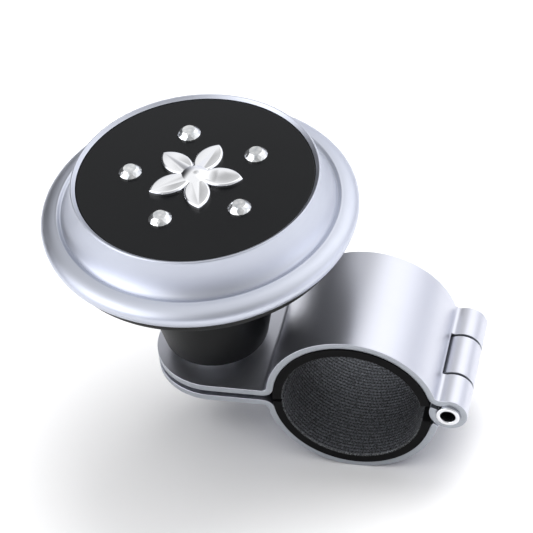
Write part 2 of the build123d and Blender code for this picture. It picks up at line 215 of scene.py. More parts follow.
def arc(centre, radius, start, end, steps, squeeze=1):
    """Points on a round from one angle to another, in degrees. squeeze flattens its height."""
    found = []
    for n in range(steps + 1):
        angle = math.radians(start + (end - start) * n / steps)
        found.append((centre[0] + radius * math.cos(angle),
                      centre[1] + radius * squeeze * math.sin(angle)))
    return found


def dome(edge, crown, steps):
    """Points on the ball centred on the axis, from its edge to its crown, both (radius, height)."""
    middle = (edge[0] ** 2 + edge[1] ** 2 - crown[0] ** 2 - crown[1] ** 2) / (2 * (edge[1] - crown[1]))
    radius = math.hypot(edge[0], edge[1] - middle)
    start = math.degrees(math.atan2(edge[1] - middle, edge[0]))
    end = math.degrees(math.atan2(crown[1] - middle, crown[0]))
    return arc((0, middle), radius, start, end, steps)


def rounded(points, radius, steps=4):
    """The same outline with each inner corner rounded. Gentle bends and the two ends stay."""
    gentle_bend = math.radians(20)
    share_of_run = 0.45
    found = [points[0]]
    for before, corner, after in zip(points, points[1:], points[2:]):
        a, b, c = Vector(before), Vector(corner), Vector(after)
        if (b - a).angle(c - b) < gentle_bend:
            found.append(tuple(b))
            continue
        reach = min(radius, (a - b).length * share_of_run, (c - b).length * share_of_run)
        start = b + (a - b).normalized() * reach
        end = b + (c - b).normalized() * reach
        for n in range(steps + 1):
            t = n / steps
            found.append(tuple(start * (1 - t) ** 2 + b * 2 * t * (1 - t) + end * t ** 2))
    found.append(points[-1])
    return found


print("a quarter arc of 90 steps has", len(arc((0, 0), MM, 0, 90, 90)), "points")

# %% [markdown]
# ## Helpers for finishes
# A material is a small graph of nodes. One function adds a node with its settings and links, and
# another turns a colour as a painter writes it (sRGB hex) into the linear numbers that light uses.

# %% Colours and nodes
def linear(hex_colour):
    """An sRGB hex colour as linear red, green, blue and alpha."""
    parts = [int(hex_colour[n:n + 2], 16) / 255 for n in (1, 3, 5)]
    return [p / 12.92 if p <= 0.04045 else ((p + 0.055) / 1.055) ** 2.4 for p in parts] + [1.0]


def node(tree, kind, inputs=None, **settings):
    """Adds a node. Each input is a value, or an output socket to link from."""
    added = tree.nodes.new(kind)
    for name, value in settings.items():
        setattr(added, name, value)
    for name, value in (inputs or {}).items():
        if isinstance(value, bpy.types.NodeSocket):
            tree.links.new(value, added.inputs[name])
        else:
            added.inputs[name].default_value = value
    return added


def new_material(name, colour, metallic, roughness):
    """A material with its even values set on the shader. Returns it, its nodes and its shader."""
    material = bpy.data.materials.new(name)
    material.use_nodes = True
    tree = material.node_tree
    shader = tree.nodes["Principled BSDF"]
    shader.inputs["Base Color"].default_value = linear(colour)
    shader.inputs["Metallic"].default_value = metallic
    shader.inputs["Roughness"].default_value = roughness
    return material, tree, shader


def placed(tree, size, centre=(0, 0, 0)):
    """The piece's own coordinates about a centre, so that one unit is this many metres a side."""
    coordinates = node(tree, "ShaderNodeTexCoord").outputs["Object"]
    mapping = node(tree, "ShaderNodeMapping", {"Vector": coordinates, "Location": centre,
                                               "Scale": size}, vector_type="TEXTURE")
    return mapping.outputs["Vector"]


def uneven(tree, shader, size, detail, low, high, between=(0.0, 1.0), centre=(0, 0, 0)):
    """Lets the roughness wander from low to high in blots of a size. Returns the blots."""
    blots = node(tree, "ShaderNodeTexNoise", {
        "Vector": placed(tree, size, centre), "Scale": 1.0, "Detail": detail}).outputs["Fac"]
    spread = node(tree, "ShaderNodeMapRange", {
        "Value": blots, "From Min": between[0], "From Max": between[1],
        "To Min": low, "To Max": high})
    tree.links.new(spread.outputs["Result"], shader.inputs["Roughness"])
    return blots


def wear(piece, *materials):
    """Fills a piece's material slots in order, and adds those that it lacks."""
    slots = piece.data.materials
    for number, material in enumerate(materials):
        if number < len(slots):
            slots[number] = material
        else:
            slots.append(material)


print("white is", [round(v, 3) for v in linear("#ffffff")])

# %% [markdown]
# ## The metal ring
# On the real knob this is a thin zinc casting, ground and plated with satin chrome. In section it
# has a small ridge at the lip, a deep cove, a narrow crease, and a fat rounded band over the black
# rim. A lathe makes it: the section is drawn once and spun. The cove is a little fuller than the
# solid's, so it runs straight into the crease. The band turns into its underside in one direction,
# because plated metal shows the smallest kink as a bent reflection.

# %% Section of the ring
shell_wall = 1.3 * MM
band_width = 3.7 * MM
band_rise = 1.9 * MM
widest_rise = 2.4 * MM
cove_width = 2.4 * MM
band_undercut = 1.7 * MM
lip_bead_width = 0.95 * MM
lip_bead_rise = 0.45 * MM
lip_foot = disc_top + 0.05 * MM
widest_z = rim_top + widest_rise
crease_z = widest_z + band_rise
crease_radius = knob_radius - band_width
lip_radius = crease_radius - cove_width
bead_middle = lip_radius - lip_bead_width / 2
cove_fill = 0.4
crease_width = 0.75 * MM
crease_depth = 0.3 * MM
crease_points = 9
band_start = crease_radius + 1.1 * crease_width
ridge_radius = 0.3 * lip_bead_width
ridge_start = 128
inner_cove_end = 207
seat_thickness = 1.2 * MM
seat_width = 2.0 * MM
under_radius = (band_undercut ** 2 + widest_rise ** 2) / (2 * band_undercut)
under_angle = math.degrees(math.atan2(widest_rise, under_radius - band_undercut))
print("the band turns under by", round(under_angle, 1), "degrees")


def ring_section():
    """From the seat for the disc over the bead, cove and band, and back inside the wall."""
    cove_depth = lip_foot - crease_z
    ridge = arc((lip_radius - ridge_radius, lip_foot), ridge_radius, ridge_start, 0, steps=14,
                squeeze=lip_bead_rise / ridge_radius)
    bead = [(bead_middle - lip_bead_width / 2, lip_foot)] + ridge
    hollow = arc((crease_radius, lip_foot), cove_width, 180, 270, steps=28,
                 squeeze=cove_depth / cove_width)
    cove = []
    for number, (x, z) in enumerate(hollow):
        along = number / (len(hollow) - 1)
        straight = (lip_radius + cove_width * along, lip_foot - cove_depth * along)
        cove.append((x + (straight[0] - x) * cove_fill, z + (straight[1] - z) * cove_fill))
    cove = [point for point in cove if point[0] < crease_radius - crease_depth / 2]
    crease = []
    for number in range(crease_points):
        out = number / (crease_points - 1)
        dip = crease_depth * (1 + math.cos(math.pi * out)) / 2
        crease.append((crease_radius + crease_width * out, crease_z - dip))
    band = arc((crease_radius, widest_z), band_width, 90, 0, steps=32, squeeze=band_rise / band_width)
    band = [point for point in band if point[0] > band_start]
    under = arc((knob_radius - under_radius, widest_z), under_radius, 0, -under_angle, steps=14)
    inner_under = [(x - shell_wall, z) for x, z in reversed(under)]
    inner_wide = band_width - shell_wall
    inner_high = band_rise - shell_wall
    inner_band = arc((crease_radius, widest_z), inner_wide, 0, 90, steps=12,
                     squeeze=inner_high / inner_wide)
    inner_cove_wide = cove_width + shell_wall
    inner_cove = arc((crease_radius, lip_foot), inner_cove_wide, 270, inner_cove_end, steps=12,
                     squeeze=(cove_depth + shell_wall) / inner_cove_wide)
    seat_z = disc_low.z
    seat_bottom = seat_z - seat_thickness
    seat_inner = disc_radius - seat_width
    seat = [(inner_cove[-1][0], seat_bottom), (seat_inner, seat_bottom), (seat_inner, seat_z),
            (bead[0][0], seat_z)]
    return bead + cove[1:] + crease + band + under[1:] + inner_under + inner_band[1:] \
        + inner_cove[1:] + seat + [bead[0]]


# %% Spin the ring
ring_steps = 192
knob_ring = lathe("knob_ring", ring_section(), (knob_x, 0), ring_steps)
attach(knob_ring, "knob")
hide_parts("knob_shell")
print("ring:", len(knob_ring.data.polygons), "faces")

# %% [markdown]
# ## The black moulding
# Neck, cove and rim are one injection moulding in black ABS. It is turned in shape, so the lathe
# makes it too. Its edges have the small rounds that a mould leaves, and inside it keeps the stepped
# bore for the two bearings.

# %% Section of the moulding and its lathe
neck_radius = 9.4 * MM
neck_taper = 0.216471
neck_round = 0.6 * MM
rim_height = 1.7 * MM
rim_draft = 0.4 * MM
rim_round = 0.2 * MM
cove_size = 5 * MM
collar_gap = 0.05 * MM
collar_wall = 1.6 * MM
floor_thickness = 2 * MM
hub_rise = 1.6 * MM
hub_outer = 14 * MM
upper_pocket = 11 * MM
lower_pocket = 8 * MM
lip_bore = 7.1 * MM
lip_thickness = 1.6 * MM
bore_chamfer = 0.2 * MM
groove_width = 1.2 * MM
groove_depth = 0.8 * MM

neck_low = body_low.z
collar_top = body_high.z
rim_low = rim_top - rim_height
rim_radius = (body_high.x - body_low.x) / 2
collar_outer = rim_radius - shell_wall - collar_gap
collar_inner = collar_outer - collar_wall
floor_top = rim_low + floor_thickness
hub_z = floor_top + hub_rise
lower_seat = neck_low + lip_thickness
upper_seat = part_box("upper_outer_race")[0].z
groove_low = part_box("upper_outer_race")[1].z
groove_high = groove_low + groove_width


def neck_at(z):
    """The neck's radius at a height."""
    return neck_radius + neck_taper * (z - neck_low)


def moulding_section():
    """Neck, cove, rim, collar, floor, hub and bore, from the bore's foot and back to it."""
    lean = math.degrees(math.atan(neck_taper))
    reach = cove_size * math.tan(math.radians((90 - lean) / 2))
    cove_centre = (neck_at(rim_low) + reach, rim_low - cove_size)
    cove = arc(cove_centre, cove_size, 180 - lean, 90, steps=20)
    outside = rounded([(lip_bore, neck_low + bore_chamfer), (lip_bore, neck_low),
                       (neck_radius, neck_low), cove[0]], neck_round)
    rim = rounded([cove[-1], (rim_radius - rim_draft, rim_low), (rim_radius, rim_top),
                   (collar_outer, rim_top), (collar_outer, collar_top),
                   (collar_inner, collar_top), (collar_inner, floor_top), (hub_outer, floor_top),
                   (hub_outer, hub_z), (upper_pocket, hub_z), (upper_pocket, groove_high)],
                  rim_round, steps=3)
    groove = upper_pocket + groove_depth
    bore = [(groove, groove_high), (groove, groove_low), (upper_pocket, groove_low),
            (upper_pocket, upper_seat), (lower_pocket, upper_seat), (lower_pocket, lower_seat),
            (lip_bore, lower_seat)]
    return outside[:-1] + cove + rim[1:] + bore + [outside[0]]


moulding = lathe("moulded_body", moulding_section(), (knob_x, 0), ring_steps)
print("moulding, as turned:", [round(v / MM, 2) for v in moulding.dimensions], "mm")

# %% [markdown]
# Between the hub and the collar the moulding has six ribs, which keep the wide floor flat as the
# plastic cools. One rib is a box, its copies are turned round the axis, and all six are joined and
# united with the turned body in one boolean.

# %% Six ribs from hub to collar
rib_count = 6
rib_thickness = 1.4 * MM
rib_bite = 0.8 * MM
rib_rise = 1 * MM
rib_foot = rim_low + rib_rise
rib_length = collar_inner - hub_outer + 2 * rib_bite
deselect_all()
bpy.ops.mesh.primitive_cube_add(size=1, location=((hub_outer + collar_inner) / 2, 0,
                                                  (rib_foot + hub_z) / 2))
rib = bpy.context.object
rib.scale = (rib_length, rib_thickness, hub_z - rib_foot)
settle(rib)
ribs = [rib]
for number in range(1, rib_count):
    turned = own_copy(rib, "rib_copy")
    turned.rotation_euler.z = math.tau * number / rib_count
    settle(turned)
    ribs.append(turned)
deselect_all()
for piece in ribs:
    piece.select_set(True)
bpy.context.view_layer.objects.active = rib
bpy.ops.object.join()
rib.location.x = knob_x
settle(rib)
combine(moulding, "UNION", rib)
smooth(moulding)
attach(moulding, "knob")
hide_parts("knob_body")
print("moulding:", len(moulding.data.polygons), "faces")

# %% [markdown]
# ## The disc and its ornament
# A black acrylic disc drops into the ring. On it sit a cast, polished ornament and five clear
# stones. The ornament is a plain five-petal rosette. Each petal is drawn once as a pointed leaf,
# given thickness, and its upper edge is bevelled, which is where the bright lines come from.

# %% The disc
disc_round = 0.25 * MM
disc_points = rounded([(0, disc_low.z), (disc_radius, disc_low.z), (disc_radius, disc_top),
                       (0, disc_top)], disc_round, steps=6)
disc = lathe("black_disc", disc_points, (knob_x, 0), ring_steps)
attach(disc, "knob")
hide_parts("cap_disc")
print("disc:", [round(v / MM, 2) for v in disc.dimensions], "mm")

# %% [markdown]
# A petal's two sides are arcs through its root, its widest point and its tip. The flat outline is
# drawn as a chain, filled, laid down and raised.

# %% One petal
petal_count = 5
petal_near = 0.6 * MM
petal_far = 8.6 * MM
petal_belly = 5.0 * MM
petal_half_width = 2.3 * MM
petal_height = 0.9 * MM
petal_bevel = 0.42 * MM


def circle_through(a, b, c):
    """Centre and radius of the circle through three points."""
    d = 2 * (a[0] * (b[1] - c[1]) + b[0] * (c[1] - a[1]) + c[0] * (a[1] - b[1]))
    squares = [p[0] ** 2 + p[1] ** 2 for p in (a, b, c)]
    x = (squares[0] * (b[1] - c[1]) + squares[1] * (c[1] - a[1]) + squares[2] * (a[1] - b[1])) / d
    y = (squares[0] * (c[0] - b[0]) + squares[1] * (a[0] - c[0]) + squares[2] * (b[0] - a[0])) / d
    return (x, y), math.hypot(a[0] - x, a[1] - y)


def petal_side(steps):
    """Points along the petal's upper side, from its root to its tip."""
    near, belly, far = (petal_near, 0), (petal_belly, petal_half_width), (petal_far, 0)
    centre, radius = circle_through(near, belly, far)
    start = math.degrees(math.atan2(near[1] - centre[1], near[0] - centre[0]))
    end = math.degrees(math.atan2(far[1] - centre[1], far[0] - centre[0]))
    return arc(centre, radius, start % 360, end % 360, steps)


def make_petal(name):
    """A flat pointed petal, drawn flat, raised, and bevelled round its upper edge."""
    side = petal_side(steps=20)
    outline = side + [(x, -y) for x, y in reversed(side[1:-1])]
    piece = chain(name, outline)
    bpy.ops.mesh.select_all(action="SELECT")
    bpy.ops.mesh.edge_face_add()
    bpy.ops.transform.rotate(value=math.pi / 2, orient_axis="X", center_override=(0, 0, 0))
    bpy.ops.mesh.extrude_region_move(TRANSFORM_OT_translate={"value": (0, 0, petal_height)})
    close_up()
    top = max(v.co.z for v in piece.data.vertices)
    edit(piece)
    select_where(piece, "edges", lambda c: c.z > top - touch)
    bpy.ops.mesh.bevel(offset=petal_bevel, segments=4, profile=0.5)
    close_up()
    return piece


petal = make_petal("petal_pattern")
print("petal:", [round(v / MM, 2) for v in petal.dimensions])

# %% [markdown]
# The five petals and the domed button in the middle are one casting on the real ornament, so they
# are united into one closed shell. A union keeps no hidden faces where they cross. The petals lie
# 0.02 mm higher than the button's foot, because a union of faces that share one plane doesn't come
# out the same each time.

# %% Five petals and the button become one casting
button_radius = 2.7 * MM
button_edge = 0.63 * MM
button_top = 1.45 * MM
petal_lift = 0.02 * MM
button_dome = dome((button_radius, button_edge), (0, button_top), steps=16)
button_points = [(0, 0), (button_radius, 0)] + button_dome
rosette = lathe("rosette_casting", [(max(x, 0), z) for x, z in button_points], (0, 0), steps=80)
for number in range(petal_count):
    turned = own_copy(petal, "petal_copy")
    turned.rotation_euler.z = math.tau * number / petal_count
    turned.location.z = petal_lift
    settle(turned)
    combine(rosette, "UNION", turned)
bpy.data.objects.remove(petal)
rosette.location = (knob_x, 0, disc_top)
settle(rosette)
smooth(rosette, degrees=28)
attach(rosette, "knob")
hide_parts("rosette")
print("rosette:", len(rosette.data.polygons), "faces")

# %% [markdown]
# ## The stones
# They are round brilliants of about 4 mm, flat-backed and foiled. A thin disc of sixteen sides is
# the girdle. Its top is extruded twice, drawn in and turned by half a side each time, which leaves
# two rows of facets and a table. They are all kept flat, because a stone sparkles by its flat
# faces. The other stones are copies with their own mesh.

# %% One stone, copied to five places
stone_count = 5
stone_sides = 16
stone_radius = 2.05 * MM
stone_shoulder = 1.62 * MM
stone_table = 1.15 * MM
stone_girdle = 0.3 * MM
stone_top = 1.15 * MM
lower_share = 0.56
stone_circle = 11.6 * MM


def make_stone(name):
    """A faceted crown: girdle, two rows of triangles, and a flat table."""
    deselect_all()
    bpy.ops.mesh.primitive_cylinder_add(vertices=stone_sides, radius=stone_radius,
                                        depth=stone_girdle, location=(0, 0, stone_girdle / 2))
    piece = bpy.context.object
    piece.name = name
    settle(piece)
    edit(piece)
    select_where(piece, "polygons", lambda c: c.z > stone_girdle - touch)
    rings = ((stone_radius, stone_shoulder, lower_share),
             (stone_shoulder, stone_table, 1 - lower_share))
    for wide, narrow, share in rings:
        rise = (stone_top - stone_girdle) * share
        bpy.ops.mesh.extrude_region_move(TRANSFORM_OT_translate={"value": (0, 0, rise)})
        bpy.ops.transform.resize(value=(narrow / wide, narrow / wide, 1))
        bpy.ops.transform.rotate(value=math.pi / stone_sides, orient_axis="Z",
                                 center_override=(0, 0, 0))
    bpy.ops.mesh.select_all(action="SELECT")
    bpy.ops.mesh.quads_convert_to_tris(quad_method="SHORTEST_DIAGONAL", ngon_method="BEAUTY")
    close_up()
    return piece


stone = make_stone("stone_pattern")
stones = []
for number in range(1, stone_count + 1):
    gem = own_copy(stone, f"gem_{number}")
    turn = math.tau * (number - 0.5) / stone_count
    gem.location = (knob_x + stone_circle * math.cos(turn), stone_circle * math.sin(turn), disc_top)
    gem.rotation_euler.z = turn
    settle(gem)
    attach(gem, "knob")
    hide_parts(f"stone_{number}")
    stones.append(gem)
bpy.data.objects.remove(stone)
print("stones:", len(stones), "of", len(stones[0].data.polygons), "faces")

# %% [markdown]
# ## The two clamp leaves
# Each leaf is one strip of sheet metal, cut flat and then bent: a flat tongue with a round tip, a
# tight bend, a half circle of jaw, a bend back, and a knuckle rolled round the pin. Here too the
# strip grows by bending: its end edge is spun round the centre of each bend in turn, so every
# radius is exact. Solidify then gives the sheet its thickness, and a bevel breaks its edges.

# %% Sizes of the bent strip
sheet = 1.25 * MM
jaw_outer = 15.65 * MM
bend_radius = 1.0 * MM
tongue_top = 1.8 * MM
tip_shift = 0.6 * MM
pin_gap = 0.05 * MM
notch_clearance = 0.35 * MM
curl_angle = 314
knuckle_length = 9.6 * MM
knuckle_gap = 0.5 * MM
cut_tolerance = 0.0001 * MM

tip_x = knob_x + tip_shift
pin_radius = (pin_high.x - pin_low.x) / 2
knuckle_outer = pin_radius + pin_gap + sheet
notch_radius = knuckle_outer + notch_clearance
bend_reach = jaw_outer + bend_radius
bend_z = tongue_top + bend_radius
bend_x = -math.sqrt(bend_reach ** 2 - bend_z ** 2)
bend_angle = math.degrees(math.atan2(bend_z, bend_x))
knuckle_reach = knuckle_outer + bend_radius
back_x = (bend_reach ** 2 - knuckle_reach ** 2 + hinge_x ** 2) / (2 * hinge_x)
back_z = math.sqrt(bend_reach ** 2 - back_x ** 2)
jaw_end = math.degrees(math.atan2(back_z, back_x))
to_pin = math.degrees(math.atan2(-back_z, hinge_x - back_x))
back_sweep = (to_pin + 360) - (jaw_end + 180)
print("the jaw runs from", round(bend_angle, 1), "to", round(jaw_end, 1), "degrees")

# %% [markdown]
# The tongue is half a disc, whose straight edge is pulled out to the first bend. From there on the
# end edges are spun: up round the bend, over the jaw, and back towards the pin until the notch.

# %% Bend the strip
def bend_edges(centre, degrees, steps):
    """Spins the selected end edges about a line along Y. Positive turns from +X towards +Z."""
    bpy.ops.mesh.spin(steps=steps, angle=math.radians(degrees), center=(centre[0], 0, centre[1]),
                      axis=(0, 1, 0))


def notch_angle():
    """How far the strip may bend back before it comes within the notch's radius of the pin."""
    middle = bend_radius + sheet / 2
    halvings = 40
    near = 0.0
    far = back_sweep
    for _ in range(halvings):
        trial = (near + far) / 2
        turn = math.radians(jaw_end + 180 + trial)
        x = back_x + middle * math.cos(turn)
        z = back_z + middle * math.sin(turn)
        if math.hypot(x - hinge_x, z) > notch_radius:
            near = trial
        else:
            far = trial
    return near


def bent_strip(name, side):
    """Tongue, bend, jaw and the start of the bend back, as one surface. side is 1 above, -1 below."""
    deselect_all()
    bpy.ops.mesh.primitive_circle_add(vertices=160, radius=clamp_width / 2, fill_type="NGON",
                                      location=(tip_x, 0, side * tongue_top))
    piece = bpy.context.object
    piece.name = name
    piece.data.materials.append(None)
    piece.data.materials.append(None)
    settle(piece)
    edit(piece)
    bpy.ops.mesh.select_all(action="SELECT")
    bpy.ops.mesh.bisect(plane_co=(tip_x, 0, 0), plane_no=(1, 0, 0), clear_outer=True,
                        threshold=cut_tolerance)
    select_where(piece, "edges", lambda c: c.x > tip_x - touch)
    bpy.ops.mesh.extrude_region_move(TRANSFORM_OT_translate={"value": (bend_x - tip_x, 0, 0)})
    bend_edges((bend_x, side * bend_z), side * (bend_angle - 90), steps=16)
    bend_edges((0, 0), side * (jaw_end - bend_angle), steps=90)
    bend_edges((back_x, side * back_z), side * notch_angle(), steps=8)
    return piece


print("the strip bends back by", round(notch_angle(), 1), "of", round(back_sweep, 1), "degrees")

# %% [markdown]
# The strip is cut across at the knuckle lines, and only the edges of its own knuckles are bent on
# round the pin. The rest stops at the notch, which leaves room for the knuckles of the other leaf.

# %% Roll the knuckles and give the sheet its thickness
def knuckled(piece, side, line, is_knuckle):
    """Rolls the end edges whose |y| passes is_knuckle round the pin, and leaves the others."""
    bpy.ops.mesh.select_all(action="SELECT")
    for y in (line, -line):
        bpy.ops.mesh.bisect(plane_co=(0, y, 0), plane_no=(0, 1, 0), threshold=cut_tolerance)
        bpy.ops.mesh.select_all(action="SELECT")
    turn = math.radians(jaw_end + 180 + notch_angle())
    end = Vector((back_x + bend_radius * math.cos(turn), back_z + bend_radius * math.sin(turn)))

    def at_end(c):
        return (Vector((c.x, side * c.z)) - end).length < touch and is_knuckle(abs(c.y))

    found = select_where(piece, "edges", at_end)
    bend_edges((back_x, side * back_z), side * (back_sweep - notch_angle()), steps=8)
    bend_edges((hinge_x, 0), -side * curl_angle, steps=72)
    return found


def thickened(piece, side):
    """Turns the surface outwards, makes it a sheet, and leaves it in object mode."""
    close_up()
    top = max(piece.data.polygons, key=lambda face: face.area)
    if top.normal.z * side < 0:
        piece.data.flip_normals()
    modify(piece, "SOLIDIFY", thickness=sheet, offset=-1, use_even_offset=True,
           material_offset_rim=1)


upper = bent_strip("stamped_upper_leaf", 1)
upper_line = (knuckle_length + knuckle_gap) / 2
print("upper knuckle edges:", knuckled(upper, 1, upper_line, lambda y: y > upper_line))
thickened(upper, 1)

lower = bent_strip("stamped_lower_leaf", -1)
lower_line = (knuckle_length - knuckle_gap) / 2
print("lower knuckle edges:", knuckled(lower, -1, lower_line, lambda y: y < lower_line))
thickened(lower, -1)
print("upper leaf", [round(v / MM, 2) for v in upper.dimensions])

# %% [markdown]
# The holes are punched with a boolean, and a narrow bevel breaks every sheared edge. That bevel is
# what draws the bright line along the edges. Weighted normals keep the flats beside it flat.

# %% Punch the holes and break the edges
spigot_hole = 4.52 * MM
spigot_flats = 7.64 * MM
screw_hole = 3.4 * MM
sharp_angle = 50
broken_edge = 0.14 * MM
tongue_middle = tongue_top - sheet / 2


def punch(piece, z, radius, flats=None):
    """Cuts a round hole at the knob's axis, with two flats where their distance is given."""
    deselect_all()
    bpy.ops.mesh.primitive_cylinder_add(vertices=96, radius=radius, depth=4 * sheet,
                                        location=(knob_x, 0, z))
    cutter = bpy.context.object
    settle(cutter)
    edit(cutter)
    for way in (1, -1) if flats else ():
        bpy.ops.mesh.select_all(action="SELECT")
        bpy.ops.mesh.bisect(plane_co=(0, way * flats / 2, 0), plane_no=(0, way, 0),
                            clear_outer=True, use_fill=True, threshold=cut_tolerance)
    close_up()
    combine(piece, "DIFFERENCE", cutter)


def break_edges(piece):
    """A narrow bevel round every sharp edge, with normals that keep the flats flat."""
    modify(piece, "BEVEL", width=broken_edge, segments=2, limit_method="ANGLE",
           angle_limit=math.radians(sharp_angle), harden_normals=False, material=0)
    smooth(piece, sharp_angle)
    modify(piece, "WEIGHTED_NORMAL", keep_sharp=True, weight=80)


punch(upper, tongue_middle, spigot_hole, spigot_flats)
punch(lower, -tongue_middle, screw_hole)
for leaf, body, cad in ((upper, "clamp_base", "upper_leaf"), (lower, "lower_jaw", "lower_leaf")):
    break_edges(leaf)
    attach(leaf, body)
    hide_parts(cad)
    print(leaf.name, len(leaf.data.polygons), "faces")

# %% [markdown]
# ## The hinge pin
# It is a hollow rolled pin that stands a little proud of the outer knuckles. A lathe turns its
# wall about an upright line, and it is then laid along Y through the knuckles.

# %% Turn the pin and lay it down
pin_bore = 1.35 * MM
pin_half = (pin_high.y - pin_low.y) / 2
pin_wall = [(pin_bore, -pin_half), (pin_radius, -pin_half), (pin_radius, pin_half),
            (pin_bore, pin_half)]
pin_corner = 0.25 * MM
pin_start = (pin_bore, 0)
pin_outline = rounded([pin_start] + pin_wall + [pin_start], pin_corner, steps=5)
pin = lathe("rolled_pin", pin_outline, (0, 0), steps=64)
pin.rotation_euler.x = math.pi / 2
pin.location.x = hinge_x
settle(pin)
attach(pin, "clamp_base")
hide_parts("hinge_pin")
print("pin:", [round(v / MM, 2) for v in pin.dimensions])

# %% [markdown]
# ## The lining pads
# Each pad is a moulded rubber strip with a fabric face. The face is a plain weave, so one tile of
# two by two crossings is modelled and repeated. The tile has a plain back, so that the repeated
# tiles close into one block. Simple Deform then bends the flat block to the radius of the rim.

# %% One tile of the weave
rim_radius_held = frame["record"]["mounts"][0]["dims"]["r_mm"] * MM
pad_low, pad_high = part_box("upper_pad")
glue_gap = 0.03 * MM
half_parting = 0.3 * MM
pad_outer = jaw_outer - sheet - glue_gap
pad_half_width = (pad_high.y - pad_low.y) / 2
pad_reach = (pad_outer ** 2 + hinge_x ** 2 - notch_radius ** 2) / (2 * pad_outer * hinge_x)
pad_start = math.degrees(math.acos(pad_reach))
pad_end = 180 - math.degrees(math.asin(half_parting / rim_radius_held))
pad_span = math.radians(pad_end - pad_start)
rows_across = 16
tiles_along = 60
tile_width = 2 * pad_half_width / rows_across
tile_length = rim_radius_held * pad_span / tiles_along
pad_depth = pad_outer - rim_radius_held
thread_rise = 0.1 * MM
shoulder_rise = 0.4 * thread_rise
crossing_rise = 0.6 * thread_rise
threads_from = -1.1 * thread_rise
thread_gap = 0.04 * MM
thread_slope = 0.05 * MM
print("one tile is", round(tile_length / MM, 3), "by", round(tile_width / MM, 3), "mm")


def weave_tile(name):
    """A tile that faces +X, its threads standing up to x = 0 and its plain back behind them."""
    deselect_all()
    bpy.ops.mesh.primitive_plane_add(size=1, rotation=(0, math.pi / 2, 0))
    piece = bpy.context.object
    piece.name = name
    piece.scale = (tile_length, tile_width, 1)
    settle(piece)
    edit(piece)
    bpy.ops.mesh.select_all(action="SELECT")
    bpy.ops.transform.translate(value=(-2 * thread_rise, 0, 0))
    bpy.ops.mesh.subdivide(number_cuts=1)
    bpy.ops.mesh.duplicate_move(TRANSFORM_OT_translate={"value": (2 * thread_rise - pad_depth, 0, 0)})
    select_where(piece, "polygons", lambda c: c.x > -pad_depth / 2)
    bpy.ops.mesh.inset(thickness=thread_gap, use_individual=True)
    bpy.ops.mesh.extrude_region_move(TRANSFORM_OT_translate={"value": (thread_rise, 0, 0)})
    bpy.ops.mesh.inset(thickness=thread_slope, use_individual=True)
    bpy.ops.transform.translate(value=(shoulder_rise, 0, 0))
    select_where(piece, "polygons", lambda c: c.x > threads_from and c.y * c.z > 0)
    bpy.ops.transform.translate(value=(crossing_rise, 0, 0))
    bpy.ops.object.mode_set(mode="OBJECT")
    return piece


def make_pad(name):
    """Tiles repeated both ways, closed round their rim, and bent to the rim's radius."""
    piece = weave_tile(name)
    for count, offset in ((rows_across, (0, tile_width, 0)), (tiles_along, (0, 0, tile_length))):
        modify(piece, "ARRAY", count=count, use_relative_offset=False, use_constant_offset=True,
               constant_offset_displace=offset, use_merge_vertices=True, merge_threshold=touch)
    edit(piece)
    bpy.ops.mesh.select_all(action="SELECT")
    bpy.ops.mesh.remove_doubles(threshold=touch / 2)
    bpy.ops.transform.translate(value=(0, -tile_width * (rows_across - 1) / 2,
                                       -tile_length * (tiles_along - 1) / 2))
    bpy.ops.mesh.select_mode(type="EDGE")
    bpy.ops.mesh.select_all(action="DESELECT")
    bpy.ops.mesh.select_non_manifold(extend=False)
    bpy.ops.mesh.bridge_edge_loops()
    close_up()
    modify(piece, "SIMPLE_DEFORM", deform_method="BEND", deform_axis="Y", angle=pad_span)
    piece.location.x = -rim_radius_held
    settle(piece)
    piece.rotation_euler.y = math.radians(180 - (pad_start + pad_end) / 2)
    settle(piece)
    smooth(piece, weave_angle)
    for face in piece.data.polygons:
        from_axis = math.hypot(face.center.x, face.center.z)
        face.material_index = int(abs(face.normal.y) > side_facing or from_axis > cloth_limit)
    return piece


weave_angle = 60
side_facing = 0.9
cloth_limit = rim_radius_held + 3 * thread_rise
upper_pad = make_pad("woven_upper_pad")
upper_pad.data.materials.append(None)
upper_pad.data.materials.append(None)
lower_pad = own_copy(upper_pad, "woven_lower_pad")
lower_pad.scale.z = -1
settle(lower_pad)
edit(lower_pad)
close_up()
smooth(lower_pad, weave_angle)
for pad, body, cad in ((upper_pad, "clamp_base", "upper_pad"), (lower_pad, "lower_jaw", "lower_pad")):
    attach(pad, body)
    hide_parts(cad)
    print(pad.name, [round(v / MM, 2) for v in pad.dimensions], len(pad.data.polygons), "faces")

# %% [markdown]
# ## The clamp screw
# A domed socket screw comes up from below and draws the tongues together. The lathe turns its
# shank and head, the Screw modifier winds one tooth of the thread into a helix, and booleans unite
# the two and sink the socket.

# %% Turn, thread and socket the screw
screw_low, screw_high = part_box("clamp_screw")
seat_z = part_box("screw_washer")[0].z
head_radius = (screw_high.x - screw_low.x) / 2
head_edge = 0.7 * MM
head_round = 0.15 * MM
crown_radius = 3.1 * MM
socket_width = 4 * MM
socket_depth = 2 * MM
tip_chamfer = 0.5 * MM
thread_crest = 3.0 * MM
thread_root = 2.4 * MM
thread_pitch = 1.0 * MM
thread_turns = 6
thread_runout = 0.9 * MM
tooth_foot = thread_root - 0.1 * MM
half_foot = 0.44 * thread_pitch
half_crest = 0.07 * thread_pitch

